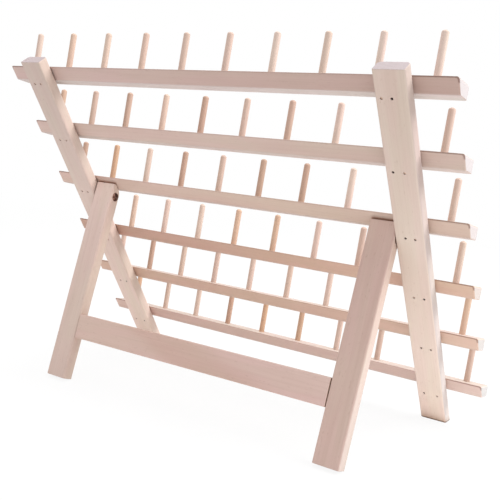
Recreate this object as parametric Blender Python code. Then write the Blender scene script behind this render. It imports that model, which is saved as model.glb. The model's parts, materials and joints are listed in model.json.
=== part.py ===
# Folding thread rack: a ladder of six pegged rails on two leaning posts, held up by a
# hinged frame of two legs and a stretcher. Metres, +Z up. The support frame is at -Y,
# the pegs point up and towards +Y, the rails run along X.
import math

import bmesh
import bpy
from mathutils import Matrix

# Angles
post_lean = math.radians(31.4)
open_angle = math.radians(49.8)
peg_angle = math.radians(42.0)

# Clearances
fit_gap = 0.0003
joint_gap = 0.0004
cut_overrun = 0.002

# Posts: long edges well rounded, sawn ends nearly sharp
post_width = 0.0223
post_thickness = 0.0108
post_length = 0.3203
post_rounding = 0.0018
post_end_rounding = 0.0006

# Rails: how far they reach past the middle of a post, the larger rounding of the top face's
# two ends, and their places along the posts
rail_length = 0.400
rail_overhang = 0.0396
rail_depth = 0.0216
rail_thickness = 0.0096
rail_rounding = 0.0009
rail_corner_rounding = 0.0018
rail_corner_segments = 4
top_rail_drop = 0.0087
lowest_rail_height = 0.0434
rail_place_shares = (1.0, 0.8034, 0.6008, 0.3951, 0.1988, 0.0)
stop_rail = 3

# Pegs: margins to a rail's ends and front edge, the wood left under a peg, and how far
# each rail's row lies off the middle
peg_count = 10
peg_end_margin = 0.01775
peg_front_margin = 0.0086
peg_floor = 0.0026
peg_diameter = 0.005
peg_height = 0.0315
peg_tip_height = 0.0018
peg_sides = 12
peg_tip_rings = 3
peg_row_shifts = (-0.0006, -0.0002, 0.0005, 0.0003, 0.0016, 0.0020)

# Legs: the back edges are well rounded, the others nearly sharp. The top is cut back at the
# front, to lie along the stop rail, and rounded above and below that cut
leg_width = 0.022
leg_thickness = 0.010
leg_rounding = 0.0018
leg_edge_rounding = 0.0005
leg_top = 0.011
leg_brow_radius = 0.003
leg_chin_radius = 0.008
leg_arc_segments = 4

# Stretcher, which slopes a little, and its dowels: wood left behind a dowel in the leg,
# and between two dowels
stretcher_height = 0.0217
stretcher_thickness = 0.010
stretcher_rounding = 0.0011
stretcher_end_rounding = 0.0003
stretcher_slope = math.radians(-0.55)
stretcher_top_height = 0.0609
dowel_diameter = 0.005
dowel_floor = 0.010
dowel_web = 0.0034
dowel_chamfer = 0.0008
dowel_sides = 16

# Pivot: distance under the stop rail, distance behind the rails, offset in the leg
pivot_drop = 0.0036
pivot_reach = 0.0069
pivot_offset = 0.001
screw_diameter = 0.0036
screw_grip = 0.012
screw_tip_length = 0.003
head_diameter = 0.0062
head_height = 0.0022
head_edge = 0.0005
head_sink = 0.0020
recess_width = 0.0009
recess_length = 0.0034
recess_depth = 0.0012
screw_sides = 16

# Brad nails: bite into the rail, and for each rail the rise over its lower back edge,
# the spread of a pair and the shift of its middle in shares of the post's width
nail_diameter = 0.0012
nail_head_diameter = 0.0017
nail_head_height = 0.0008
nail_tip_length = 0.0015
nail_bite = 0.0093
nail_sink = 0.0004
nail_sides = 8
nail_rises = (0.0022, 0.0011, 0.0011, 0.0011, 0.0012, 0.0012)
nail_spreads = (0.0071, 0.0081, 0.0072, 0.0080, 0.0079, 0.0113)
right_nail_shift_shares = (-0.145, -0.075, 0.021, 0.054, 0.075, 0.025)
left_nail_shift_shares = (-0.033, 0.042, 0.019, 0.0, 0.033, 0.042)

# Shading and bevels
bevel_segments = 2
bevel_limit = math.radians(40.0)
sharp_angle = math.radians(35.0)
merge_distance = 0.000001
sides = ((-1, "left"), (1, "right"))

# Worked out from the sizes above
leg_lean = open_angle - post_lean
rail_count = len(rail_place_shares)
rail_span = post_length - top_rail_drop - lowest_rail_height
rail_back_height = rail_thickness / math.cos(peg_angle)
rail_seat = post_thickness + fit_gap
peg_pitch = (rail_length - 2 * peg_end_margin) / (peg_count - 1)
peg_setback = rail_depth - peg_front_margin
peg_sink = rail_thickness - peg_floor
nail_end = rail_seat + nail_bite
post_x = rail_length / 2 - rail_overhang
post_inner_x = post_x - post_width / 2
leg_outer_x = post_inner_x - joint_gap
leg_inner_x = leg_outer_x - leg_width
leg_x = (leg_inner_x + leg_outer_x) / 2
leg_front = leg_thickness / 2 - pivot_offset
leg_back = leg_front - leg_thickness
cut_reach = pivot_reach - fit_gap
dowel_reach = leg_width - dowel_floor
dowel_spread = dowel_diameter + 2 * fit_gap + dowel_web
dowel_y = leg_back + stretcher_thickness / 2
pivot_depth = rail_seat - pivot_reach
counterbore_depth = head_sink + head_height + fit_gap


def rail_top(number):
    # Distance along the posts from their feet to the top back edge of a rail
    return lowest_rail_height + rail_span * rail_place_shares[number - 1]


def ladder_extent():
    # Lowest and highest Y of the posts when their back bottom edge is at Y = 0
    foot_radius = post_end_rounding * math.tan((math.pi / 2 - post_lean) / 2)
    front = post_thickness / math.cos(post_lean) - post_end_rounding + foot_radius
    corner_loss = post_end_rounding * (math.sin(post_lean) + math.cos(post_lean) - 1)
    back = -post_length * math.sin(post_lean) + corner_loss
    return back, front


back_reach, front_reach = ladder_extent()
foot_y = -(back_reach + front_reach) / 2
pivot_height = rail_top(stop_rail) - rail_back_height - pivot_drop
pivot_y = foot_y - pivot_height * math.sin(post_lean) + pivot_depth * math.cos(post_lean)
pivot_z = pivot_height * math.cos(post_lean) + pivot_depth * math.sin(post_lean)


def leg_foot_drop():
    # The front edge of the square-cut foot comes down to the floor
    front_arm = leg_front - leg_edge_rounding
    drop = pivot_z - leg_edge_rounding - front_arm * math.sin(leg_lean)
    return leg_edge_rounding + drop / math.cos(leg_lean)


leg_foot = leg_foot_drop()
stretcher_top = stretcher_top_height - leg_foot
stretcher_middle = stretcher_top - stretcher_height / 2


def make_material(name, color, roughness, metallic):
    material = bpy.data.materials.new(name)
    material.use_nodes = True
    shader = material.node_tree.nodes["Principled BSDF"]
    shader.inputs["Base Color"].default_value = (*color, 1.0)
    shader.inputs["Roughness"].default_value = roughness
    shader.inputs["Metallic"].default_value = metallic
    material.diffuse_color = (*color, 1.0)
    return material


def make_empty(name, location, turn):
    empty = bpy.data.objects.new(name, None)
    empty.location = location
    empty.rotation_euler = (turn, 0.0, 0.0)
    bpy.context.scene.collection.objects.link(empty)
    return empty


def make_mesh(name, bm):
    bmesh.ops.recalc_face_normals(bm, faces=bm.faces[:])
    mesh = bpy.data.meshes.new(name)
    bm.to_mesh(mesh)
    bm.free()
    mesh.shade_smooth()
    mesh.set_sharp_from_angle(angle=sharp_angle)
    return mesh


def place(name, mesh, parent, location, material):
    piece = bpy.data.objects.new(name, mesh)
    piece.parent = parent
    piece.location = location
    if material is not None and not mesh.materials:
        mesh.materials.append(material)
    bpy.context.scene.collection.objects.link(piece)
    return piece


def combine(piece, guide, operation):
    boolean = piece.modifiers.new(guide.name, "BOOLEAN")
    boolean.operation = operation
    boolean.solver = "EXACT"
    boolean.object = guide


def add_bar(bm, outline, length):
    # A solid of the given Y, Z outline, centred along X
    corners = [bm.verts.new((-length / 2, y, z)) for y, z in outline]
    face = bm.faces.new(corners)
    grown = bmesh.ops.extrude_face_region(bm, geom=[face])
    moved = [item for item in grown["geom"] if isinstance(item, bmesh.types.BMVert)]
    bmesh.ops.translate(bm, verts=moved, vec=(length, 0.0, 0.0))


def bevel_edges(bm, edges, width, segments):
    bmesh.ops.bevel(
        bm, geom=list(edges), offset=width, offset_type="OFFSET", segments=segments,
        profile=0.5, affect="EDGES")
    bmesh.ops.recalc_face_normals(bm, faces=bm.faces[:])


def sharp_edges(bm):
    return {edge for edge in bm.edges if edge.calc_face_angle() > bevel_limit}


def edges_round(bm, chosen):
    return {edge for face in bm.faces if chosen(face.normal) for edge in face.edges}


def round_bar(bm, width, end_width, is_end):
    # Rounds a bar's sharp edges by one width, and those round its end faces by another
    bmesh.ops.recalc_face_normals(bm, faces=bm.faces[:])
    bevel_edges(bm, sharp_edges(bm) - edges_round(bm, is_end), width, bevel_segments)
    bevel_edges(bm, sharp_edges(bm) & edges_round(bm, is_end), end_width, bevel_segments)


def faces_along_x(normal):
    return abs(normal.x) > 0.5


def faces_along_z(normal):
    return abs(normal.z) > 0.5


def faces_up(normal):
    return normal.z > 0.5


def faces_front_or_end(normal):
    return abs(normal.x) < 0.5 and normal.y > -0.5


def add_turned(bm, profile, steps, matrix):
    # A solid of revolution: radius and height pairs turned about Z, then placed
    points = [bm.verts.new((radius, 0.0, height)) for radius, height in profile]
    edges = [bm.edges.new(pair) for pair in zip(points, points[1:])]
    bmesh.ops.spin(
        bm, geom=points + edges, cent=(0.0, 0.0, 0.0), axis=(0.0, 0.0, 1.0),
        angle=2 * math.pi, steps=steps, use_merge=True)
    made = [vert for vert in bm.verts if not vert.tag]
    bmesh.ops.remove_doubles(bm, verts=made, dist=merge_distance)
    made = [vert for vert in bm.verts if not vert.tag]
    bmesh.ops.transform(bm, matrix=matrix, verts=made)
    for vert in made:
        vert.tag = True


def x_axis_turn(direction):
    # Turns Z onto +X or -X
    return Matrix.Rotation(direction * math.pi / 2, 4, "Y")


# Peg and rail meshes, in rail axes: Y across the top face, Z along the pegs
def rail_mesh():
    bm = bmesh.new()
    heel = rail_thickness * math.tan(peg_angle)
    outline = (
        (0.0, 0.0),
        (rail_depth, 0.0),
        (rail_depth, -rail_thickness),
        (heel, -rail_thickness),
    )
    add_bar(bm, outline, rail_length)
    bmesh.ops.recalc_face_normals(bm, faces=bm.faces[:])
    corners = edges_round(bm, faces_up) & edges_round(bm, faces_along_x)
    bevel_edges(bm, corners, rail_corner_rounding, rail_corner_segments)
    bevel_edges(bm, sharp_edges(bm), rail_rounding, bevel_segments)
    return make_mesh("rail", bm)


def peg_profile():
    radius = peg_diameter / 2
    profile = [(0.0, -peg_sink), (radius, -peg_sink)]
    for step in range(peg_tip_rings + 1):
        turn = math.pi / 2 * step / peg_tip_rings
        height = peg_height - peg_tip_height + peg_tip_height * math.sin(turn)
        profile.append((radius * math.cos(turn), height))
    return profile


def peg_row_mesh(shift):
    bm = bmesh.new()
    for number in range(peg_count):
        x = (number - (peg_count - 1) / 2) * peg_pitch + shift
        add_turned(bm, peg_profile(), peg_sides, Matrix.Translation((x, peg_setback, 0.0)))
    return make_mesh("peg_row", bm)


# Nails, in ladder axes: Y from the posts' back towards the rails
def nail_places(number):
    places = []
    height = rail_top(number) - rail_back_height + nail_rises[number - 1]
    half = nail_spreads[number - 1] / 2
    for (side, label), shares in zip(sides, (left_nail_shift_shares, right_nail_shift_shares)):
        centre = side * post_x + shares[number - 1] * post_width
        places.append((label, "a", centre - half, height))
        places.append((label, "b", centre + half, height))
    return places


def nail_profile(extra, head_start):
    shank = nail_diameter / 2 + extra
    head = nail_head_diameter / 2 + extra
    under_head = nail_sink + nail_head_height + extra
    tip = nail_end + extra
    return (
        (0.0, head_start),
        (head, head_start),
        (head, under_head),
        (shank, under_head),
        (shank, tip - nail_tip_length),
        (0.0, tip),
    )


y_turn = Matrix.Rotation(-math.pi / 2, 4, "X")


def nail_mesh():
    bm = bmesh.new()
    add_turned(bm, nail_profile(0.0, nail_sink), nail_sides, y_turn)
    return make_mesh("nail", bm)


def add_nail_bores(bm, places):
    profile = nail_profile(fit_gap, -cut_overrun)
    for x, height in places:
        add_turned(bm, profile, nail_sides, Matrix.Translation((x, 0.0, height)) @ y_turn)


def rail_bores_mesh(number):
    bm = bmesh.new()
    add_nail_bores(bm, [(x, height) for side, letter, x, height in nail_places(number)])
    return make_mesh("rail_bores", bm)


# Posts
def post_mesh():
    bm = bmesh.new()
    foot_fall = post_thickness * math.tan(post_lean)
    outline = (
        (0.0, 0.0),
        (post_thickness, -foot_fall),
        (post_thickness, post_length),
        (0.0, post_length),
    )
    add_bar(bm, outline, post_width)
    round_bar(bm, post_rounding, post_end_rounding, faces_along_z)
    return make_mesh("post", bm)


# Legs, in leg axes about the pivot: Y to the front, Z up along the leg
def arc(centre, radius, start, end):
    points = []
    for step in range(leg_arc_segments + 1):
        turn = start + (end - start) * step / leg_arc_segments
        points.append((centre[0] + radius * math.cos(turn), centre[1] + radius * math.sin(turn)))
    return points


def leg_outline():
    # The slanting cut meets the front face at the chin and the top face at the brow
    chin = (cut_reach - leg_front * math.cos(open_angle)) / math.sin(open_angle)
    brow = (cut_reach - leg_top * math.sin(open_angle)) / math.cos(open_angle)
    chin_room = leg_chin_radius * math.tan(open_angle / 2)
    brow_room = leg_brow_radius * math.tan((math.pi / 2 - open_angle) / 2)
    outline = [(leg_back, -leg_foot), (leg_front, -leg_foot)]
    centre = (leg_front - leg_chin_radius, chin - chin_room)
    outline += arc(centre, leg_chin_radius, 0.0, open_angle)
    centre = (brow - brow_room, leg_top - leg_brow_radius)
    outline += arc(centre, leg_brow_radius, open_angle, math.pi / 2)
    outline.append((leg_back, leg_top))
    return outline


def leg_mesh():
    bm = bmesh.new()
    add_bar(bm, leg_outline(), leg_width)
    round_bar(bm, leg_rounding, leg_edge_rounding, faces_front_or_end)
    return make_mesh("leg", bm)


def leg_bores_mesh(side):
    # Counterbored pivot hole from the inner face and two dowel holes in that face
    bm = bmesh.new()
    hole = screw_diameter / 2 + fit_gap
    sunk = head_diameter / 2 + fit_gap
    pivot = (
        (0.0, -cut_overrun),
        (sunk, -cut_overrun),
        (sunk, counterbore_depth),
        (hole, counterbore_depth),
        (hole, leg_width + cut_overrun),
        (0.0, leg_width + cut_overrun),
    )
    inner = side * (leg_inner_x - leg_x)
    turn = x_axis_turn(side)
    add_turned(bm, pivot, screw_sides, Matrix.Translation((inner, 0.0, 0.0)) @ turn)
    dowel_hole = dowel_bore_profile()
    to_leg = Matrix.Translation((-side * leg_x, 0.0, 0.0)) @ stretcher_place()
    for z in dowel_levels:
        spot = to_leg @ Matrix.Translation((side * leg_inner_x, 0.0, z))
        add_turned(bm, dowel_hole, dowel_sides, spot @ turn)
    return make_mesh("leg_bores", bm)


# Stretcher and dowels, in axes through the stretcher's middle
dowel_levels = (-dowel_spread / 2, dowel_spread / 2)


def stretcher_place():
    turn = Matrix.Rotation(stretcher_slope, 4, "Y")
    return Matrix.Translation((0.0, dowel_y, stretcher_middle)) @ turn


def dowel_bore_profile():
    radius = dowel_diameter / 2 + fit_gap
    depth = dowel_reach + fit_gap
    return ((0.0, -cut_overrun), (radius, -cut_overrun), (radius, depth), (0.0, depth))


def dowel_mesh():
    bm = bmesh.new()
    radius = dowel_diameter / 2
    half = dowel_reach
    profile = (
        (0.0, -half),
        (radius - dowel_chamfer, -half),
        (radius, -half + dowel_chamfer),
        (radius, half - dowel_chamfer),
        (radius - dowel_chamfer, half),
        (0.0, half),
    )
    add_turned(bm, profile, dowel_sides, x_axis_turn(1))
    return make_mesh("dowel", bm)


def stretcher_mesh():
    bm = bmesh.new()
    y = stretcher_thickness / 2
    z = stretcher_height / 2
    add_bar(bm, ((-y, -z), (y, -z), (y, z), (-y, z)), 2 * (leg_inner_x - joint_gap))
    round_bar(bm, stretcher_rounding, stretcher_end_rounding, faces_along_x)
    return make_mesh("stretcher", bm)


def stretcher_bores_mesh():
    bm = bmesh.new()
    for side, label in sides:
        for z in dowel_levels:
            spot = Matrix.Translation((side * (leg_inner_x - joint_gap), 0.0, z))
            add_turned(bm, dowel_bore_profile(), dowel_sides, spot @ x_axis_turn(-side))
    return make_mesh("stretcher_bores", bm)


# Pivot screws, laid along X with the head at the start
def screw_mesh():
    bm = bmesh.new()
    head = head_diameter / 2
    shank = screw_diameter / 2
    neck = head_sink + head_height
    tip = post_inner_x - leg_inner_x + screw_grip
    profile = (
        (0.0, head_sink),
        (head - head_edge, head_sink),
        (head, head_sink + head_edge),
        (head, neck),
        (shank, neck),
        (shank, tip - screw_tip_length),
        (0.0, tip),
    )
    add_turned(bm, profile, screw_sides, x_axis_turn(1))
    return make_mesh("pivot_screw", bm)


def recess_mesh():
    # A cross-shaped bar along X that cuts the screwdriver recess
    bm = bmesh.new()
    far = recess_length / 2
    near = recess_width / 2
    arm = [(far, near), (near, near), (near, far)]
    outline = []
    for quarter in range(4):
        outline += arm
        arm = [(-z, y) for y, z in arm]
    depth = recess_depth + cut_overrun
    add_bar(bm, outline, depth)
    middle = head_sink + recess_depth - depth / 2
    bmesh.ops.translate(bm, verts=bm.verts[:], vec=(middle, 0.0, 0.0))
    return make_mesh("cross_recess", bm)


def post_bores_mesh(side, label):
    # Nail bores from the back and the pilot hole of the pivot screw from the inner side
    places = []
    for number in range(1, rail_count + 1):
        for where, letter, x, height in nail_places(number):
            if where == label:
                places.append((x - side * post_x, height))
    bm = bmesh.new()
    add_nail_bores(bm, places)
    hole = screw_diameter / 2 + fit_gap
    pilot = (
        (0.0, -cut_overrun),
        (hole, -cut_overrun),
        (hole, screw_grip + fit_gap),
        (0.0, screw_grip + fit_gap),
    )
    spot = Matrix.Translation((-side * post_width / 2, pivot_depth, pivot_height))
    add_turned(bm, pilot, screw_sides, spot @ x_axis_turn(side))
    return make_mesh("post_bores", bm)


def place_guide(name, mesh, parent, location):
    guide = place(name, mesh, parent, location, None)
    guide.hide_render = True
    guide.display_type = "WIRE"
    return guide


def build_posts(ladder, wood):
    mesh = post_mesh()
    for side, label in sides:
        spot = (side * post_x, 0.0, 0.0)
        post = place("post_" + label, mesh, ladder, spot, wood)
        bores = place_guide("post_bores_" + label, post_bores_mesh(side, label), ladder, spot)
        combine(post, bores, "DIFFERENCE")


def build_rails(ladder, wood):
    # Each rail carries its glued pegs and is bored for its nails
    mesh = rail_mesh()
    for number in range(1, rail_count + 1):
        spot = (0.0, rail_seat, rail_top(number))
        rail = place("peg_rail_%d" % number, mesh, ladder, spot, wood)
        row = peg_row_mesh(peg_row_shifts[number - 1])
        pegs = place_guide("pegs_%d" % number, row, ladder, spot)
        for piece in (rail, pegs):
            piece.rotation_euler = (-peg_angle, 0.0, 0.0)
        name = "rail_bores_%d" % number
        bores = place_guide(name, rail_bores_mesh(number), ladder, (0.0, 0.0, 0.0))
        combine(rail, pegs, "UNION")
        combine(rail, bores, "DIFFERENCE")


def build_nails(ladder, steel):
    mesh = nail_mesh()
    for number in range(1, rail_count + 1):
        for side, letter, x, height in nail_places(number):
            name = "rail_nail_%d_%s_%s" % (number, side, letter)
            place(name, mesh, ladder, (x, 0.0, height), steel)


def build_legs(hinge, wood):
    mesh = leg_mesh()
    for side, label in sides:
        spot = (side * leg_x, 0.0, 0.0)
        leg = place("leg_" + label, mesh, hinge, spot, wood)
        bores = place_guide("leg_bores_" + label, leg_bores_mesh(side), hinge, spot)
        combine(leg, bores, "DIFFERENCE")


def build_pivots(ladder, steel):
    # The screws are held in the posts, and the legs turn on them
    screws = screw_mesh()
    recess = recess_mesh()
    for side, label in sides:
        spot = (side * leg_inner_x, pivot_depth, pivot_height)
        screw = place("pivot_screw_" + label, screws, ladder, spot, steel)
        slots = place_guide("cross_recess_" + label, recess, ladder, spot)
        if side < 0:
            for piece in (screw, slots):
                piece.rotation_euler = (0.0, 0.0, math.pi)
        combine(screw, slots, "DIFFERENCE")


def build_stretcher(hinge, board_wood, dowel_wood):
    middle = make_empty("stretcher_middle", (0.0, 0.0, 0.0), 0.0)
    middle.parent = hinge
    middle.matrix_basis = stretcher_place()
    stretcher = place("stretcher", stretcher_mesh(), middle, (0.0, 0.0, 0.0), board_wood)
    bores = place_guide("stretcher_bores", stretcher_bores_mesh(), middle, (0.0, 0.0, 0.0))
    combine(stretcher, bores, "DIFFERENCE")
    mesh = dowel_mesh()
    for side, label in sides:
        for level, z in zip(("lower", "upper"), dowel_levels):
            spot = (side * (leg_inner_x - joint_gap / 2), 0.0, z)
            place("stretcher_dowel_%s_%s" % (label, level), mesh, middle, spot, dowel_wood)


def build():
    for item in list(bpy.data.objects):
        bpy.data.objects.remove(item, do_unlink=True)
    ladder = make_empty("ladder_frame", (0.0, foot_y, 0.0), post_lean)
    hinge = make_empty("leg_hinge", (0.0, pivot_y, pivot_z), -leg_lean)
    build_posts(ladder, make_material("post_wood", (0.79, 0.68, 0.59), 0.62, 0.0))
    build_rails(ladder, make_material("rail_wood", (0.76, 0.64, 0.55), 0.62, 0.0))
    build_nails(ladder, make_material("nail_steel", (0.16, 0.14, 0.13), 0.45, 0.9))
    build_legs(hinge, make_material("leg_wood", (0.74, 0.61, 0.53), 0.62, 0.0))
    build_pivots(ladder, make_material("screw_steel", (0.17, 0.11, 0.08), 0.40, 0.9))
    board_wood = make_material("stretcher_wood", (0.75, 0.62, 0.54), 0.62, 0.0)
    dowel_wood = make_material("dowel_wood", (0.80, 0.66, 0.50), 0.60, 0.0)
    build_stretcher(hinge, board_wood, dowel_wood)


build()
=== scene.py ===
import json
import math

import bmesh
import bpy
from mathutils import Matrix, Vector, noise


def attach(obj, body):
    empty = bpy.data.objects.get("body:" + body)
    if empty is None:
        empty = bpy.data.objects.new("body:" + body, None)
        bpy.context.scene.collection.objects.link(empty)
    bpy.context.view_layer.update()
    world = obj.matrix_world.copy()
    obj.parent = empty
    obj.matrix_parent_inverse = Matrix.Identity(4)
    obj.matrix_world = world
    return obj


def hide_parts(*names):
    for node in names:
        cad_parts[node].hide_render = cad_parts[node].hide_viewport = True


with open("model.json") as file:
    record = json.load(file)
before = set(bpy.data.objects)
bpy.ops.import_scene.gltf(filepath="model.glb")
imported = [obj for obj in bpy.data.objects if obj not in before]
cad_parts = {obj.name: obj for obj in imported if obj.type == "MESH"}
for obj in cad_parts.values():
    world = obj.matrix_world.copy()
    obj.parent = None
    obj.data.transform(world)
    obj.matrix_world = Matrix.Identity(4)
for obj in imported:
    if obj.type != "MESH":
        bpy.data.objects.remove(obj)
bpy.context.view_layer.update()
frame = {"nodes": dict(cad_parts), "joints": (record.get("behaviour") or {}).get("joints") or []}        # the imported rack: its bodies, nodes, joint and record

quarterTurn = math.pi / 2
sides = ((-1, "left"), (1, "right"))
right = Vector((1, 0, 0))
up = Vector((0, 0, 1))
print("rack frame loaded")


# Where the boards lie. Lengths in metres, angles in degrees, as the solids have them
rack = {
    "postLean": 31.4,
    "legLean": 18.4,
    "pegAngle": 42.0,        # between a peg and the posts
    "pivotDepth": 0.0042,    # from the posts' back to the hinge
    "pivotHeight": 0.188016,     # along the posts, from their feet to the hinge
    "gap": 0.0003,
    "stopRail": 3,           # the rail that the tops of the legs lean on
}

postLean = math.radians(rack["postLean"])
legLean = math.radians(rack["legLean"])
openAngle = postLean + legLean
pegAngle = math.radians(rack["pegAngle"])
hinge = Vector(frame["joints"][0]["pos_m"])
ladderTurn = Matrix.Rotation(postLean, 4, "X")
hingeInLadder = Vector((0, rack["pivotDepth"], rack["pivotHeight"]))
ladderPlace = Matrix.Translation(hinge) @ ladderTurn @ Matrix.Translation(-hingeInLadder)
legPlace = Matrix.Translation(hinge) @ Matrix.Rotation(-legLean, 4, "X")


# Camera first: the photograph's place and framing
shot = {
    "position": (0.36056, -0.53292, 0.23544),
    "yaw": 33.580,
    "pitch": -12.196,
    "roll": 3.937,
    "focalPixels": 765.83,
    "centrePixels": (242.0, 290.0),
    "framePixels": 500.0,
    "sensor": 36.0,
}


def makeCamera():
    yaw = math.radians(shot["yaw"])
    pitch = math.radians(shot["pitch"])
    roll = math.radians(shot["roll"])
    turn = Matrix.Rotation(yaw, 4, "Z") @ Matrix.Rotation(quarterTurn + pitch, 4, "X")
    turn = turn @ Matrix.Rotation(roll, 4, "Z")
    data = bpy.data.cameras.new("photoCamera")
    data.sensor_width = shot["sensor"]
    data.lens = shot["focalPixels"] / shot["framePixels"] * shot["sensor"]
    data.shift_x = 0.5 - shot["centrePixels"][0] / shot["framePixels"]
    data.shift_y = shot["centrePixels"][1] / shot["framePixels"] - 0.5
    camera = bpy.data.objects.new("photoCamera", data)
    camera.matrix_world = Matrix.Translation(shot["position"]) @ turn
    bpy.context.scene.collection.objects.link(camera)
    bpy.context.scene.camera = camera


makeCamera()
print("camera placed")


# Shader sums: a wrapped socket takes + - * ** and abs, and makes the Math nodes itself
class Tap:
    def __init__(self, graph, socket):
        self.graph = graph
        self.socket = socket

    def sum(self, operation, first, second):
        return self.graph.node("ShaderNodeMath", {"operation": operation}, {0: first, 1: second})

    def __add__(self, other):
        return self.sum("ADD", self, other)

    def __radd__(self, other):
        return self.sum("ADD", other, self)

    def __sub__(self, other):
        return self.sum("SUBTRACT", self, other)

    def __rsub__(self, other):
        return self.sum("SUBTRACT", other, self)

    def __mul__(self, other):
        return self.sum("MULTIPLY", self, other)

    def __rmul__(self, other):
        return self.sum("MULTIPLY", other, self)

    def __pow__(self, other):
        return self.sum("POWER", self, other)

    def __abs__(self):
        return self.graph.node("ShaderNodeMath", {"operation": "ABSOLUTE"}, {0: self})


class Graph:
    def __init__(self, name):
        self.material = bpy.data.materials.new(name)
        self.material.use_nodes = True
        self.tree = self.material.node_tree
        self.tree.nodes.clear()

    def node(self, kind, settings=None, sockets=None, output=0):
        made = self.tree.nodes.new(kind)
        for name, value in (settings or {}).items():
            setattr(made, name, value)
        for name, value in (sockets or {}).items():
            if isinstance(value, Tap):
                self.tree.links.new(value.socket, made.inputs[name])
            else:
                made.inputs[name].default_value = value
        return Tap(self, made.outputs[output]) if len(made.outputs) else made

    def split(self, vector):
        made = self.tree.nodes.new("ShaderNodeSeparateXYZ")
        self.tree.links.new(vector.socket, made.inputs[0])
        return [Tap(self, output) for output in made.outputs]

    def stretch(self, vector, scale):
        return self.node("ShaderNodeVectorMath", {"operation": "MULTIPLY"}, {0: vector, 1: scale})

    def noise(self, vector, scale, detail=2.0, roughness=0.5):
        vector = self.stretch(vector, scale)
        places = {"Vector": vector, "Scale": 1.0, "Detail": detail, "Roughness": roughness}
        return self.node("ShaderNodeTexNoise", {}, places)

    def ramp(self, value, low, high):
        places = {"Value": value, "From Min": low, "From Max": high}
        return self.node("ShaderNodeMapRange", {"interpolation_type": "SMOOTHSTEP"}, places)

    def band(self, value, rise, fall):
        # 0 before the rise, 1 between the two, 0 after the fall
        return self.ramp(value, *rise) * (1 - self.ramp(value, *fall))

    def larger(self, first, second):
        return self.node("ShaderNodeMath", {"operation": "MAXIMUM"}, {0: first, 1: second})

    def facing(self, normal, axis):
        # 1 on faces square to the axis, 0 on faces along it
        share = self.node("ShaderNodeVectorMath", {"operation": "DOT_PRODUCT"}, {0: normal, 1: axis}, 1)
        return share * share

    def mix(self, share, first, second, blend="MIX"):
        settings = {"data_type": "RGBA", "blend_type": blend}
        return self.node("ShaderNodeMix", settings, {0: share, 6: first, 7: second}, 2)

    def stain(self, colour, tint, share):
        # Multiplies that share of the colour by the tint
        return self.mix(share, colour, tint, "MULTIPLY")

    def finish(self, surface):
        self.node("ShaderNodeOutputMaterial", {}, {"Surface": surface})
        return self.material


# Bare sanded hardwood, cut from a log: rings round a pith beside the board, fibres along it.
# A noise pattern is its waves per metre along the fibres and twice across them, its detail and
# its roughness. A range is where a pattern starts to show and where it shows in full
wood = {
    "ringWidth": 0.0034,
    "ringWander": 0.0120,
    "ringShare": 0.13,
    "endRingShare": 0.15,
    "wander": ((4.0, 30.0, 30.0), 2.0),
    "ringPatches": ((8.0, 60.0, 60.0), 1.0),
    "ringRange": (0.40, 0.66),
    "fibres": ((12.0, 850.0, 850.0), 4.0, 0.62),
    "fibreRange": (0.38, 0.72),
    "fibreShare": 0.18,
    "fineFibres": ((60.0, 2600.0, 2600.0), 2.0, 0.6),
    "fineShare": 0.25,
    "flecks": ((260.0, 1900.0, 900.0), 1.0),
    "fleckRange": (0.66, 0.78),
    "fleckShare": 0.26,
    "patches": ((9.0, 70.0, 70.0), 3.0),
    "patchRange": (0.40, 0.66),
    "patchShare": 0.30,
    "hues": ((16.0, 90.0, 90.0), 1.0),
    "hueRange": (0.36, 0.64),
    "hueShare": 0.55,
    "pores": ((300.0, 2400.0, 2400.0), 2.0),
    "poreRange": (0.45, 0.62),
    "poreShare": 0.30,
    "darken": (0.78, 0.71, 0.67, 1),
    "fleckTint": (0.62, 0.50, 0.43, 1),
    "patchTint": (0.90, 0.86, 0.84, 1),
    "rosy": (1.0, 0.955, 0.95, 1),
    "sallow": (0.965, 0.985, 0.93, 1),
    "endTint": (0.62, 0.54, 0.50, 1),        # of cut ends that have no tone of their own
    "narrowRange": (0.30, 0.90),     # which faces count as narrow sides
    "endRange": (0.55, 0.95),        # and which as cut ends
    "roughness": 0.60,
    "fibreRoughness": 0.16,
    "specular": 0.32,
    "fibreHeight": 0.55,
    "fineHeight": 0.25,
    "ringHeight": -0.15,
    "fleckHeight": -0.3,
    "bumpStrength": 0.6,
    "bumpDepth": 0.00012,
}

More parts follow.
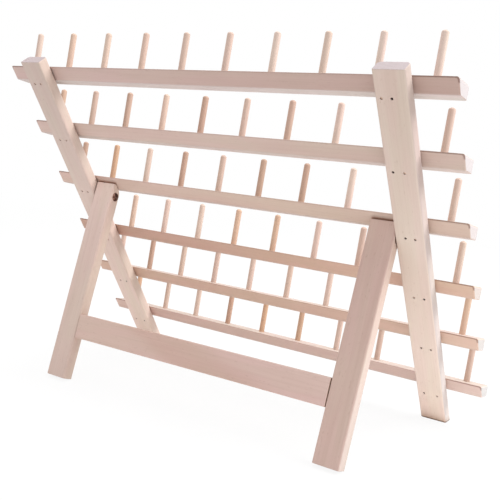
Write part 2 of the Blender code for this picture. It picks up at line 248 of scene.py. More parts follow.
# Linear colours: at the start of a board, at its far end, on its cut ends, and at the start and
# the far end of its narrow sides
tones = {
    # The posts' colours run much paler toward their feet: painted light, standing for light bounced up
    # from the floor
    "post_left": (
        (0.870, 0.710, 0.630, 1), (0.570, 0.460, 0.412, 1), (0.450, 0.374, 0.383, 1),
        (0.740, 0.610, 0.540, 1), (0.650, 0.520, 0.465, 1)),
    "post_right": (
        (0.860, 0.725, 0.640, 1), (0.605, 0.492, 0.430, 1), (0.420, 0.357, 0.365, 1),
        (0.645, 0.600, 0.580, 1), (0.545, 0.440, 0.405, 1)),
    "rail_1": (
        (0.600, 0.430, 0.395, 1), (0.472, 0.330, 0.283, 1), (0.565, 0.520, 0.520, 1),
        (0.570, 0.500, 0.480, 1), (0.570, 0.500, 0.480, 1)),
    "rail_2": (
        (0.645, 0.480, 0.430, 1), (0.575, 0.444, 0.383, 1), (0.575, 0.530, 0.530, 1),
        (0.555, 0.465, 0.430, 1), (0.555, 0.465, 0.430, 1)),
    "rail_3": (
        (0.670, 0.482, 0.418, 1), (0.618, 0.473, 0.390, 1), (0.570, 0.515, 0.505, 1),
        (0.540, 0.440, 0.400, 1), (0.540, 0.440, 0.400, 1)),
    "rail_4": (
        (0.575, 0.352, 0.280, 1), (0.690, 0.478, 0.373, 1), (0.560, 0.490, 0.455, 1),
        (0.560, 0.440, 0.380, 1), (0.560, 0.440, 0.380, 1)),
    "rail_5": (
        (0.697, 0.472, 0.374, 1), (0.730, 0.526, 0.424, 1), (0.533, 0.498, 0.480, 1),
        (0.580, 0.470, 0.420, 1), (0.580, 0.470, 0.420, 1)),
    "rail_6": (
        (0.735, 0.516, 0.460, 1), (0.745, 0.570, 0.515, 1), (0.525, 0.505, 0.495, 1),
        (0.580, 0.480, 0.430, 1), (0.580, 0.480, 0.430, 1)),
    "leg_left": (
        (0.655, 0.515, 0.455, 1), (0.760, 0.597, 0.540, 1), (0.600, 0.460, 0.400, 1),
        (0.670, 0.535, 0.470, 1), (0.685, 0.540, 0.470, 1)),
    "leg_right": (
        (0.590, 0.435, 0.385, 1), (0.585, 0.420, 0.372, 1), (0.560, 0.430, 0.370, 1),
        (0.625, 0.530, 0.480, 1), (0.665, 0.520, 0.450, 1)),
    "stretcher": (
        (0.675, 0.500, 0.440, 1), (0.665, 0.485, 0.445, 1), (0.400, 0.260, 0.190, 1),
        (0.640, 0.490, 0.430, 1), (0.640, 0.490, 0.430, 1)),
    "dowel": (
        (0.740, 0.600, 0.470, 1), (0.680, 0.520, 0.390, 1), (0.600, 0.470, 0.360, 1),
        (0.700, 0.560, 0.430, 1), (0.700, 0.560, 0.430, 1)),
}


def grainTurn(place, alongZ):
    # The pattern's X runs along the fibres
    turn = place.to_3x3()
    if alongZ:
        turn = turn @ Matrix.Rotation(-quarterTurn, 3, "Y")
    return turn.to_euler("XYZ")


def woodMaterial(name, place, alongZ, span, log, tone=None, extra=None):
    # span is where the board starts and ends, log how far off it the tree's middle lies. tone
    # gives the colour of a piece that isn't in tones. extra adds a piece's own figure, marks and
    # painted light and shade, from the spot in the rack, the spot on the board and the colour so far
    graph = Graph(name + "Wood")
    spot = graph.node("ShaderNodeTexCoord", output="Object")
    turn = grainTurn(place, alongZ)
    places = {"Vector": spot, "Location": place.translation, "Rotation": turn}
    board = graph.node("ShaderNodeMapping", {"vector_type": "TEXTURE"}, places)
    grain = graph.node("ShaderNodeVectorMath", {"operation": "ADD"}, {0: board, 1: log})
    across, through = graph.split(grain)[1:]
    # Growth rings
    wander = graph.noise(grain, *wood["wander"])
    radius = (across * across + through * through) ** 0.5 + (wander - 0.5) * wood["ringWander"]
    phase = radius * (2 * math.pi / wood["ringWidth"])
    wave = graph.node("ShaderNodeMath", {"operation": "COSINE"}, {0: phase})
    clear = graph.ramp(graph.noise(grain, *wood["ringPatches"]), *wood["ringRange"])
    ring = (wave * 0.5 + 0.5) ** 2.0 * clear
    # Fibres, short ray flecks, slow patches and a drift of hue
    fibre = graph.noise(grain, *wood["fibres"])
    fine = graph.noise(grain, *wood["fineFibres"])
    fleck = graph.ramp(graph.noise(grain, *wood["flecks"]), *wood["fleckRange"])
    patch = graph.ramp(graph.noise(grain, *wood["patches"]), *wood["patchRange"])
    hue = graph.ramp(graph.noise(grain, *wood["hues"]), *wood["hueRange"])
    normal = graph.node("ShaderNodeTexCoord", output="Normal")
    if tone:
        colour = tone(graph, board)
        endTone = graph.stain(colour, wood["endTint"], 1.0)
    else:
        start, far, endTone, sideStart, sideFar = tones[name]
        share = graph.ramp(graph.split(board)[0], *span)
        side = place.to_3x3() @ (right if alongZ else up)
        narrow = graph.ramp(graph.facing(normal, side), *wood["narrowRange"])
        colour = graph.mix(narrow, graph.mix(share, start, far), graph.mix(share, sideStart, sideFar))
    colour = graph.stain(colour, wood["patchTint"], patch * wood["patchShare"])
    colour = graph.stain(colour, graph.mix(hue, wood["rosy"], wood["sallow"]), wood["hueShare"])
    streak = graph.ramp(fibre, *wood["fibreRange"]) * wood["fibreShare"]
    streak = streak + ring * wood["ringShare"] + (fine - 0.5) * wood["fineShare"]
    colour = graph.stain(colour, wood["darken"], streak)
    colour = graph.stain(colour, wood["fleckTint"], fleck * wood["fleckShare"])
    # Cut ends show the pores
    end = graph.ramp(graph.facing(normal, turn.to_matrix() @ right), *wood["endRange"])
    pores = graph.ramp(graph.noise(grain, *wood["pores"]), *wood["poreRange"])
    dark = pores * wood["poreShare"] + ring * wood["endRingShare"]
    colour = graph.mix(end, colour, graph.stain(endTone, wood["darken"], dark))
    if extra:
        colour = extra(graph, spot, board, colour)
    roughness = fibre * wood["fibreRoughness"] + (wood["roughness"] - wood["fibreRoughness"] / 2)
    height = fibre * wood["fibreHeight"] + fine * wood["fineHeight"]
    height = height + ring * wood["ringHeight"] + fleck * wood["fleckHeight"]
    places = {"Strength": wood["bumpStrength"], "Distance": wood["bumpDepth"], "Height": height}
    bump = graph.node("ShaderNodeBump", {}, places)
    places = {"Base Color": colour, "Roughness": roughness, "Normal": bump}
    places["Specular IOR Level"] = wood["specular"]
    return graph.finish(graph.node("ShaderNodeBsdfPrincipled", {}, places))


# Steel of the small hardware. Patterns and ranges are given as in the wood
steel = {
    "clouds": ((900.0, 900.0, 900.0), 3.0, 0.6),
    "cloudRoughness": 0.25,
    "roughnessDrop": 0.1,
    "wornRange": (0.45, 0.75),
    "wornGain": 1.9,
    "wornLift": 0.02,
    "rustPatches": ((110.0, 110.0, 110.0), 0.0),
    "rustRange": (0.38, 0.56),
    "bumpStrength": 0.4,
    "bumpDepth": 0.00004,
}


def metalMaterial(name, piece):
    # The piece's rust is the colour of those heads that have gone brown
    graph = Graph(name)
    spot = graph.node("ShaderNodeTexCoord", output="Object")
    cloud = graph.noise(spot, *steel["clouds"])
    worn = graph.ramp(cloud, *steel["wornRange"])
    scuffed = [channel * steel["wornGain"] + steel["wornLift"] for channel in piece["colour"][:3]]
    scuffed = [min(1.0, channel) for channel in scuffed]
    brown = graph.ramp(graph.noise(spot, *steel["rustPatches"]), *steel["rustRange"])
    shade = graph.mix(brown, piece["colour"], piece["rust"])
    shade = graph.mix(worn * piece["scuff"], shade, (*scuffed, 1))
    places = {"Strength": steel["bumpStrength"], "Distance": steel["bumpDepth"], "Height": cloud}
    bump = graph.node("ShaderNodeBump", {}, places)
    roughness = cloud * steel["cloudRoughness"] + (piece["roughness"] - steel["roughnessDrop"])
    places = {"Base Color": shade, "Roughness": roughness, "Normal": bump, "Metallic": 1.0}
    return graph.finish(graph.node("ShaderNodeBsdfPrincipled", {}, places))


# Mesh helpers. Angles in degrees, lengths in metres
shaping = {
    "bevelAngle": 30.0,      # an edge sharper than this is rounded
    "creaseAngle": 35.0,     # and one sharper than this keeps its crease in the shading
    "endSteps": 3,           # of the rounding round a cut end
    "mergeDistance": 0.0000005,
    "sliceDistance": 0.0000001,
    "boreStart": 0.002,      # how far outside the wood a bore starts
    "boreSpare": 0.0003,     # how much deeper it goes than what it holds
    "waves": 22.0,           # of the unevenness, in each metre
    "seedSteps": (3.7, 1.9, 5.3),
    "axisSteps": ((0, 0, 0), (31.4, 7.7, 2.9), (5.1, 43.3, 17.2)),
}


def newPiece(name, mesh, material, body, nodes):
    mesh.materials.clear()
    mesh.materials.append(material)
    piece = bpy.data.objects.new(name, mesh)
    bpy.context.scene.collection.objects.link(piece)
    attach(piece, body)
    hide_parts(*nodes)
    return piece


def plainBar(outline, length):
    # A bar along X with the given Y, Z outline
    bm = bmesh.new()
    corners = [bm.verts.new((-length / 2, y, z)) for y, z in outline]
    face = bm.faces.new(corners)
    grown = bmesh.ops.extrude_face_region(bm, geom=[face])
    moved = [item for item in grown["geom"] if isinstance(item, bmesh.types.BMVert)]
    bmesh.ops.translate(bm, verts=moved, vec=(length, 0, 0))
    bmesh.ops.recalc_face_normals(bm, faces=bm.faces[:])
    return bm


def roundBar(bm, sizes, isEnd):
    # Long edges well rounded, the edges of the end faces nearly sharp
    roundEdges(bm, sharpEdges(bm) - edgesRound(bm, isEnd), sizes["rounding"], sizes["roundingSteps"])
    roundEdges(bm, sharpEdges(bm) & edgesRound(bm, isEnd), sizes["endRounding"], shaping["endSteps"])


def sharpEdges(bm):
    least = math.radians(shaping["bevelAngle"])
    return {edge for edge in bm.edges if edge.calc_face_angle(0.0) > least}


def edgesRound(bm, chosen):
    return {edge for face in bm.faces if chosen(face.normal) for edge in face.edges}


def facesAlongX(normal):
    return abs(normal.x) > 0.5


def facesAlongZ(normal):
    return abs(normal.z) > 0.5


def facesFront(normal):
    return normal.y > 0.5


def facesUp(normal):
    return normal.z > 0.5


def facesFrontOrEnd(normal):
    return abs(normal.x) < 0.5 and normal.y > -0.5


def roundEdges(bm, edges, rounding, steps):
    # In the order of the edges, so that every run gives the same mesh
    bm.edges.index_update()
    ordered = sorted(edges, key=lambda edge: edge.index)
    bmesh.ops.bevel(
        bm, geom=ordered, offset=rounding, offset_type="OFFSET", segments=steps, profile=0.5,
        affect="EDGES", clamp_overlap=True, material=-1)
    bmesh.ops.recalc_face_normals(bm, faces=bm.faces[:])


def cutAlong(bm, axis, low, high, step):
    # Rings of edges along a board, so that its faces can be very slightly uneven
    count = round((high - low) / step)
    for number in range(1, count):
        point = axis * (low + (high - low) * number / count)
        everything = bm.verts[:] + bm.edges[:] + bm.faces[:]
        bmesh.ops.bisect_plane(
            bm, geom=everything, dist=shaping["sliceDistance"], plane_co=point, plane_no=axis)


def turnedShape(profile, steps, place):
    # Radius and height pairs turned round Z
    bm = bmesh.new()
    points = [bm.verts.new((radius, 0, height)) for radius, height in profile]
    edges = [bm.edges.new(pair) for pair in zip(points, points[1:])]
    bmesh.ops.spin(
        bm, geom=points + edges, cent=(0, 0, 0), axis=(0, 0, 1), angle=2 * math.pi, steps=steps,
        use_merge=True)
    bmesh.ops.remove_doubles(bm, verts=bm.verts[:], dist=shaping["mergeDistance"])
    bmesh.ops.recalc_face_normals(bm, faces=bm.faces[:])
    bmesh.ops.transform(bm, matrix=place, verts=bm.verts[:])
    return bm


def boreProfile(radius, start, end):
    return [(0, start), (radius, start), (radius, end), (0, end)]


def toMesh(bm, name):
    mesh = bpy.data.meshes.new(name)
    bm.to_mesh(mesh)
    bm.free()
    return mesh


def joinShapes(shapes, name):
    whole = bmesh.new()
    for shape in shapes:
        part = toMesh(shape, name)
        whole.from_mesh(part)
        bpy.data.meshes.remove(part)
    return toMesh(whole, name)


def carve(mesh, cutter):
    # Takes the cutter's mesh out of the board's mesh
    board = bpy.data.objects.new("board", mesh)
    tool = bpy.data.objects.new("tool", cutter)
    for item in (board, tool):
        bpy.context.scene.collection.objects.link(item)
    cut = board.modifiers.new("cut", "BOOLEAN")
    cut.operation = "DIFFERENCE"
    cut.solver = "EXACT"
    cut.object = tool
    bpy.context.view_layer.update()
    finished = board.evaluated_get(bpy.context.evaluated_depsgraph_get())
    carved = bpy.data.meshes.new_from_object(finished)
    for item in (board, tool):
        bpy.data.objects.remove(item)
    bpy.data.meshes.remove(cutter)
    return carved


def handMade(mesh, amount, seed):
    # Leaves a sanded board a few hundredths of a millimetre off true
    shift = Vector([seed * step for step in shaping["seedSteps"]])
    aside = [Vector(step) for step in shaping["axisSteps"]]
    for vertex in mesh.vertices:
        spot = vertex.co * shaping["waves"] + shift
        vertex.co += Vector([noise.noise(spot + step) for step in aside]) * amount


def around(centre, reach):
    # A range that is given from some other place
    return (centre + reach[0], centre + reach[1])


def smoothShade(piece):
    piece.data.shade_smooth()
    piece.data.set_sharp_from_angle(angle=math.radians(shaping["creaseAngle"]))
    weigh = piece.modifiers.new("evenFaces", "WEIGHTED_NORMAL")
    weigh.keep_sharp = True


# Nails: two brads through the back of a post into each rail, heads just under the surface
nail = {
    "radius": 0.0006,
    "headRadius": 0.00085,
    "headHeight": 0.0008,
    "headDome": 0.00012,
    "sink": 0.0004,
    "tip": 0.0015,
    "end": 0.0204,
    "spreads": (0.0071, 0.0081, 0.0072, 0.0080, 0.0079, 0.0113),
    "rises": (0.0022, 0.0011, 0.0011, 0.0011, 0.0012, 0.0012),     # over the rails' lower back edges
    "boreGap": 0.00012,
    "leftShifts": (-0.033, 0.042, 0.019, 0.0, 0.033, 0.042),
    "rightShifts": (-0.145, -0.075, 0.021, 0.054, 0.075, 0.025),
    "steps": 16,
    "domeShape": ((0.6, 0.3), (0.92, 1.0), (1.0, 2.0)),     # shares of the head's radius and dome
    "colour": (0.040, 0.028, 0.024, 1),
    "rust": (0.560, 0.400, 0.310, 1),
    "roughness": 0.55,
    "scuff": 0.35,
}


def nailSpots(number, side):
    shifts = nail["rightShifts"] if side > 0 else nail["leftShifts"]
    centre = side * post["x"] + shifts[number - 1] * post["width"]
    height = railTop(number) - railBackHeight + nail["rises"][number - 1]
    half = nail["spreads"][number - 1] / 2
    return [(centre - half, height), (centre + half, height)]


def nailProfile(extra, start):
    head = nail["headRadius"] + extra
    shank = nail["radius"] + extra
    neck = nail["sink"] + nail["headHeight"] + extra
    end = nail["end"] + extra
    profile = [(0, start)]
    if extra:
        profile += [(head, start)]
    else:
        dome = nail["headDome"]
        profile += [(head * across, start + dome * down) for across, down in nail["domeShape"]]
    return profile + [(head, neck), (shank, neck), (shank, end - nail["tip"]), (0, end)]


intoRail = Matrix.Rotation(-quarterTurn, 4, "X")


def nailBores(spots):
    profile = nailProfile(nail["boreGap"], -shaping["boreStart"])
    places = [Matrix.Translation((x, 0, z)) @ intoRail for x, z in spots]
    return [turnedShape(profile, nail["steps"], place) for place in places]


def makeNails():
    finish = metalMaterial("nailSteel", nail)
    profile = nailProfile(0, nail["sink"])
    for side, label in sides:
        shapes = []
        nodes = []
        for number in railNumbers:
            for letter, (x, z) in zip("ab", nailSpots(number, side)):
                place = ladderPlace @ Matrix.Translation((x, 0, z)) @ intoRail
                shapes.append(turnedShape(profile, nail["steps"], place))
                nodes.append("rail_nail_%d_%s_%s" % (number, label, letter))
        mesh = joinShapes(shapes, "nails")
        piece = newPiece("nails_" + label, mesh, finish, "rack", nodes)
        smoothShade(piece)


# Posts: two leaning bars, their front edges well rounded, their feet cut to the floor
post = {
    "x": 0.1604,
    "width": 0.0223,
    "thickness": 0.0108,
    "length": 0.3203,
    "rounding": 0.0016,
    "frontRounding": 0.0030,
    "frontSteps": 7,
    "endRounding": 0.0006,
    "roundingSteps": 5,
    "lengthStep": 0.016,
    "firstStep": 0.004,      # over the foot
    "lastStep": 0.003,       # under the top
    "uneven": 0.00012,
    "seed": 1,
    "logs": ((0.0, -0.052, -0.030), (0.7, -0.062, 0.020)),
    # Painted light and shade at the foot: paler low down for light off the floor, darker and warmer at
    # the foot, and a painted contact shadow along the lowest edge. For each: where its tint starts to
    # fade, where it ends, its share and the tint
    "footLightShade": (
        (0.010, 0.045, 1.0, (1.10, 1.08, 1.08, 1)),
        (0.001, 0.009, 1.0, (0.86, 0.81, 0.76, 1)),
        (0.0010, 0.0022, 0.9, (0.34, 0.24, 0.19, 1))),
}

postInner = post["x"] - post["width"] / 2


def makePosts():
    foot = post["thickness"] * math.tan(postLean)
    deep = post["thickness"]
    outline = ((0, 0), (deep, -foot), (deep, post["length"]), (0, post["length"]))
    for index, (side, label) in enumerate(sides):
        bm = plainBar(outline, post["width"])
        fronts = edgesRound(bm, facesFront) & edgesRound(bm, facesAlongX)
        roundEdges(bm, fronts, post["frontRounding"], post["frontSteps"])
        roundBar(bm, post, facesAlongZ)
        last = post["length"] - post["lastStep"]
        cutAlong(bm, up, post["firstStep"], last, post["lengthStep"])
        bmesh.ops.translate(bm, verts=bm.verts[:], vec=(side * post["x"], 0, 0))
        spots = []
        for number in railNumbers:
            spots += nailSpots(number, side)
        hole = pivot["radius"] + pivot["gap"]
        pilot = boreProfile(hole, -shaping["boreStart"], pivot["grip"] + shaping["boreSpare"])
        turn = Matrix.Rotation(side * quarterTurn, 4, "Y")
        spot = Matrix.Translation((side * postInner, rack["pivotDepth"], rack["pivotHeight"]))
        cutters = nailBores(spots) + [turnedShape(pilot, pivot["steps"], spot @ turn)]
        mesh = carve(toMesh(bm, "post"), joinShapes(cutters, "postBores"))
        handMade(mesh, post["uneven"], post["seed"] + index)
        mesh.transform(ladderPlace)
        place = ladderPlace @ Matrix.Translation((side * post["x"], 0, 0))
        name = "post_" + label
        span = (0, post["length"])
        finish = woodMaterial(name, place, True, span, post["logs"][index], extra=footLightAndShade)
        piece = newPiece(name + "_board", mesh, finish, "rack", [name])
        smoothShade(piece)


def footLightAndShade(graph, spot, board, colour):
    # Painted light and shade on the posts: paler low down for light off the floor, darker and warmer at
    # the foot in painted shade, and a painted contact shadow along their lowest edge
    along, depth = graph.split(board)[:2]
    reach = along + depth * math.tan(postLean)
    for low, high, share, tint in post["footLightShade"]:
        colour = graph.stain(colour, tint, (1 - graph.ramp(reach, low, high)) * share)
    return colour


# Rails: strips with one bevelled edge, which lies flat on the fronts of the posts
rail = {
    "length": 0.400,
    "depth": 0.0216,
    "thickness": 0.0096,
    "rounding": 0.0009,
    "roundingSteps": 4,
    "cornerRounding": 0.0014,     # of the two ends of the top face
    "cornerSteps": 6,
    "lowest": 0.0434,
    "highest": 0.3116,
    "places": (1.0, 0.8034, 0.6008, 0.3951, 0.1988, 0.0),
    "lengthStep": 0.02025,
    "uneven": 0.00010,
    "seed": 4,
    "logAlong": 0.9,         # along the log, from rail to rail
    "logSide": 0.035,        # off its middle, to one side and the other in turn
    "logShift": 0.01,
    "logDepth": 0.045,
    "logStep": 0.006,        # nearer its middle, from rail to rail
}

railNumbers = range(1, len(rail["places"]) + 1)
railSeat = post["thickness"] + rack["gap"]
railBackHeight = rail["thickness"] / math.cos(pegAngle)


def railTop(number):
    share = rail["places"][number - 1]
    return rail["lowest"] + (rail["highest"] - rail["lowest"]) * share


def railPlace(number):
    spot = Matrix.Translation((0, railSeat, railTop(number)))
    return ladderPlace @ spot @ Matrix.Rotation(-pegAngle, 4, "X")


def railLog(number):
    across = -rail["logSide"] * (-1) ** number - rail["logShift"]
    return (rail["logAlong"] * number, across, rail["logDepth"] - rail["logStep"] * number)


def makeRails():
    heel = rail["thickness"] * math.tan(pegAngle)
    deep = -rail["thickness"]
    outline = ((0, 0), (rail["depth"], 0), (rail["depth"], deep), (heel, deep))
    hole = peg["radius"] + peg["boreGap"]
    bore = boreProfile(hole, shaping["boreStart"], -peg["sink"] - peg["boreSpare"])
    for number in railNumbers:
        place = railPlace(number)
        bm = plainBar(outline, rail["length"])
        corners = edgesRound(bm, facesUp) & edgesRound(bm, facesAlongX)
        roundEdges(bm, corners, rail["cornerRounding"], rail["cornerSteps"])
        roundEdges(bm, sharpEdges(bm), rail["rounding"], rail["roundingSteps"])
        half = rail["length"] / 2
        cutAlong(bm, right, -half, half, rail["lengthStep"])
        places = [pegPlace(number, k) for k in range(peg["count"])]
        cutters = [turnedShape(bore, peg["steps"], spot) for spot in places]
        toRail = place.inverted() @ ladderPlace
        for side in (-1, 1):
            for shape in nailBores(nailSpots(number, side)):
                bmesh.ops.transform(shape, matrix=toRail, verts=shape.verts[:])
                cutters.append(shape)
        mesh = carve(toMesh(bm, "rail"), joinShapes(cutters, "railBores"))
        handMade(mesh, rail["uneven"], rail["seed"] + number)
        mesh.transform(place)
        darkening = legTopShade if number == rack["stopRail"] else darkArris
        name = "rail_%d" % number
        finish = woodMaterial(name, place, False, (-half, half), railLog(number), extra=darkening)
        piece = newPiece(name, mesh, finish, "rack", ["peg_" + name])
        smoothShade(piece)


# Marks on the rails: a darker line along the upper back edge, and painted shade where the leg tops meet
# the stop rail. Ranges in metres
railDarkMarks = {
    "edgeFade": (0.0006, 0.0013),        # off the line that runs along the edge and round its ends
    "backFade": (0.0006, 0.0012),        # in from the back
    "upperRise": (-0.0038, -0.0026),     # over the top face
    "outerRise": (0.140, 0.176),         # from the rail's middle
    "leastShare": 0.20,
    "outerShare": 0.55,
    "edgeTint": (0.38, 0.29, 0.26, 1),
    "legInnerRise": (-0.0005, 0.0005),   # from the inner sides of the legs
    "legOuterFall": (-0.0002, 0.0004),   # and from their outer sides
    "hingeRise": (0.0100, 0.0112),       # over the hinge
    "hingeFall": (0.0122, 0.0142),
    "backRange": (0.70, 0.90),           # how squarely a face looks back
    # the tint of the painted shade where the leg tops meet the rail
    "gapShade": (0.94, 0.69, 0.60, 1),
}


def darkArris(graph, spot, board, colour):
    # The upper back edge of a rail is darker, most of all beyond the posts and round the corners
    along, depth, height = graph.split(board)
    inward = depth * math.cos(pegAngle) + height * math.sin(pegAngle)
    down = (depth * math.sin(pegAngle) - height * math.cos(pegAngle)) * math.cos(pegAngle)
    far = abs(along)
    turn = rail["cornerRounding"] + rail["rounding"]
    fromEnd = graph.larger(far - (rail["length"] / 2 - turn), 0.0)
    fromTop = graph.larger(turn - down, 0.0)
    edge = turn - (fromEnd * fromEnd + fromTop * fromTop) ** 0.5
    near = 1 - graph.ramp(edge, *railDarkMarks["edgeFade"])
    near = near * (1 - graph.ramp(inward, *railDarkMarks["backFade"]))
    upper = graph.ramp(height, *railDarkMarks["upperRise"])
    outer = graph.ramp(far, *railDarkMarks["outerRise"])
    amount = outer * railDarkMarks["outerShare"] + railDarkMarks["leastShare"]
    return graph.stain(colour, railDarkMarks["edgeTint"], near * upper * amount)


def legTopShade(graph, spot, board, colour):
    # Painted shade: a brown band on the back of the stop rail where the tops of the legs stand against
    # it, for the shadow in that gap
    colour = darkArris(graph, spot, board, colour)
    sideways, height = graph.split(spot)[::2]
    inner = around(legInner, railDarkMarks["legInnerRise"])
    outer = around(legOuter, railDarkMarks["legOuterFall"])
    beside = graph.band(abs(sideways), inner, outer)
    low = around(hinge.z, railDarkMarks["hingeRise"])
    high = around(hinge.z, railDarkMarks["hingeFall"])
    line = graph.band(height, low, high)
    normal = graph.node("ShaderNodeTexCoord", output="Normal")
    square = Vector((0, math.cos(postLean), math.sin(postLean)))
    back = graph.ramp(graph.facing(normal, square), *railDarkMarks["backRange"])
    return graph.stain(colour, railDarkMarks["gapShade"], beside * line * back)


# Pegs: ten dowels in each rail, with rounded tips
peg = {
    "count": 10,
    "pitch": 0.0405,
    "radius": 0.0025,
    "height": 0.0315,
    "shifts": (-0.0006, -0.0002, 0.0005, 0.0003, 0.0016, 0.0020),     # of each rail's row
    "sink": 0.007,
    "setback": 0.013,
    "tipHeight": 0.0018,
    "boreGap": 0.00012,
    "steps": 32,
    "tipRings": 8,
    "boreSpare": 0.0002,
    "footBevel": 0.0004,
    "log": (0.6, -0.011, -0.007),        # the first from rail to rail
    "pale": (0.700, 0.560, 0.500, 1),
    "tan": (0.580, 0.435, 0.365, 1),
    "orange": (0.600, 0.390, 0.265, 1),
    "orangeRange": (0.66, 0.90),
    "brown": (0.500, 0.340, 0.265, 1),
    "brownRange": (0.80, 0.94),
    "firstNumber": 50,       # keeps every peg's number above 0
    "pegDraw": 1.7,          # how far apart the random draws lie, from peg to peg
    "railDraw": 11.3,        # from rail to rail
    "nextDraw": 5.9,         # and from draw to draw
}


def pegPlace(number, k):
    # In the rail's own frame: X along it, Z along the peg
    x = (k - (peg["count"] - 1) / 2) * peg["pitch"] + peg["shifts"][number - 1]
    return Matrix.Translation((x, peg["setback"], 0))


def pegTone(number):
    # Each peg was cut from another stick: from pale to orange
    def tone(graph, board):
        start = peg["firstNumber"] - peg["shifts"][number - 1] / peg["pitch"]
        sideways = graph.split(board)[2] * (-1 / peg["pitch"]) + start
        which = graph.node("ShaderNodeMath", {"operation": "FLOOR"}, {0: sideways})
        chances = []
        for draw in range(3):
            drawn = which * peg["pegDraw"] + (peg["railDraw"] * number + peg["nextDraw"] * draw)
            settings = {"noise_dimensions": "1D"}
            chances.append(graph.node("ShaderNodeTexWhiteNoise", settings, {"W": drawn}))
        colour = graph.mix(chances[0], peg["pale"], peg["tan"])
        colour = graph.mix(graph.ramp(chances[1], *peg["orangeRange"]), colour, peg["orange"])
        return graph.mix(graph.ramp(chances[2], *peg["brownRange"]), colour, peg["brown"])
    return tone


def makePegs():
    radius = peg["radius"]
    foot = -peg["sink"]
    bevel = peg["footBevel"]
    profile = [(0, foot), (radius - bevel, foot), (radius, foot + bevel)]
    shoulder = peg["height"] - peg["tipHeight"]
    for ring in range(peg["tipRings"] + 1):
        turn = quarterTurn * ring / peg["tipRings"]
        profile.append((radius * math.cos(turn), shoulder + peg["tipHeight"] * math.sin(turn)))
    for number in railNumbers:
        place = railPlace(number)
        shapes = []
        for k in range(peg["count"]):
            shapes.append(turnedShape(profile, peg["steps"], place @ pegPlace(number, k)))
        mesh = joinShapes(shapes, "pegs")
        along, across, through = peg["log"]
        log = (along * number, across, through)
        finish = woodMaterial("peg_%d" % number, place, True, None, log, tone=pegTone(number))
        nodes = ["peg_rail_%d" % number]
        piece = newPiece("pegs_%d" % number, mesh, finish, "rack", nodes)
        smoothShade(piece)


# Legs: bars just inside the posts, the tops cut back at the front to lie along the stop rail
leg = {
    "x": 0.13785,
    "width": 0.022,
    "front": 0.004,
    "back": -0.006,
    "top": 0.011,
    "foot": 0.17024,
    "cutReach": 0.0066,      # from the hinge to the cut
    "browRadius": 0.003,     # over the cut
    "chinRadius": 0.008,     # under it
    "arcSteps": 8,
    "rounding": 0.0018,
    "endRounding": 0.0005,
    "roundingSteps": 5,
    "lengthStep": 0.017,
    "uneven": 0.00012,
    "seed": 11,
    "logs": ((0.5, -0.040, -0.024), (1.5, 0.050, -0.024)),
}

legInner = leg["x"] - leg["width"] / 2
legOuter = leg["x"] + leg["width"] / 2


def legArc(y, z, radius, start, end):
    steps = leg["arcSteps"]
    turns = [start + (end - start) * step / steps for step in range(steps + 1)]
    return [(y + radius * math.cos(turn), z + radius * math.sin(turn)) for turn in turns]


def legOutline():
    # Y and Z from the hinge, with a chin under the cut and a brow over it
    chin = (leg["cutReach"] - leg["front"] * math.cos(openAngle)) / math.sin(openAngle)
    brow = (leg["cutReach"] - leg["top"] * math.sin(openAngle)) / math.cos(openAngle)
    chinRoom = leg["chinRadius"] * math.tan(openAngle / 2)
    browRoom = leg["browRadius"] * math.tan((quarterTurn - openAngle) / 2)
    outline = [(leg["back"], -leg["foot"]), (leg["front"], -leg["foot"])]
    chinMiddle = (leg["front"] - leg["chinRadius"], chin - chinRoom)
    outline += legArc(*chinMiddle, leg["chinRadius"], 0, openAngle)
    browMiddle = (brow - browRoom, leg["top"] - leg["browRadius"])
    outline += legArc(*browMiddle, leg["browRadius"], openAngle, quarterTurn)
    return outline + [(leg["back"], leg["top"])]


def makeLegs():
    outline = legOutline()
    hole = pivot["radius"] + pivot["gap"]
    sunk = pivot["headRadius"] + pivot["gap"]
    start = -shaping["boreStart"]
    deep = pivot["headSink"] + pivot["headHeight"] + shaping["boreSpare"]
    through = leg["width"] + shaping["boreStart"]
    bore = [(0, start), (sunk, start), (sunk, deep), (hole, deep), (hole, through), (0, through)]
    for index, (side, label) in enumerate(sides):
        bm = plainBar(outline, leg["width"])
        roundBar(bm, leg, facesFrontOrEnd)
        cutAlong(bm, up, -leg["foot"], 0, leg["lengthStep"])
        bmesh.ops.translate(bm, verts=bm.verts[:], vec=(side * leg["x"], 0, 0))
        turn = Matrix.Rotation(side * quarterTurn, 4, "Y")
        spot = Matrix.Translation((side * legInner, 0, 0))
        cutter = turnedShape(bore, pivot["steps"], spot @ turn)
        mesh = carve(toMesh(bm, "leg"), toMesh(cutter, "legBore"))
        handMade(mesh, leg["uneven"], leg["seed"] + index)
        mesh.transform(legPlace)
        place = legPlace @ Matrix.Translation((side * leg["x"], 0, 0))
        name = "leg_" + label
        span = (-leg["foot"], leg["top"])
        finish = woodMaterial(name, place, True, span, leg["logs"][index], extra=paintedLegShade)
        piece = newPiece(name + "_board", mesh, finish, "leg_frame", [name])
        smoothShade(piece)


# Brown painted shade on the legs: in the pivot holes and along the gaps at their tops. Ranges in
# metres, and for the faces how squarely they look one way
legShade = {
    "insideFade": (-0.0001, 0.0003),     # from the wall of the pivot hole
    "boreShadeTint": (0.42, 0.29, 0.24, 1),
    "boreShadowRise": (-0.0006, -0.0001),     # from the same wall
    "boreShadowFall": (0.0004, 0.0009),
    "frontFade": (-0.0010, 0.0020),      # forward of the hinge
    "boreShadowTint": (0.26, 0.12, 0.08, 1),
    "boreShare": 0.9,
    "topRise": (0.10, 0.40),             # up along the leg
    "topFall": (0.90, 0.99),
    "cutRise": (0.46, 0.72),             # the way of the cut
    "sideRise": (0.05, 0.25),            # to the side
    "sideFall": (0.80, 0.97),
    "upperRise": (-0.016, -0.008),       # over the hinge, along the leg
    # share and tint of the painted shadow of the gaps at the leg tops
    "gapShadeShare": 0.85,
    "gapShadeTint": (0.26, 0.14, 0.10, 1),
}


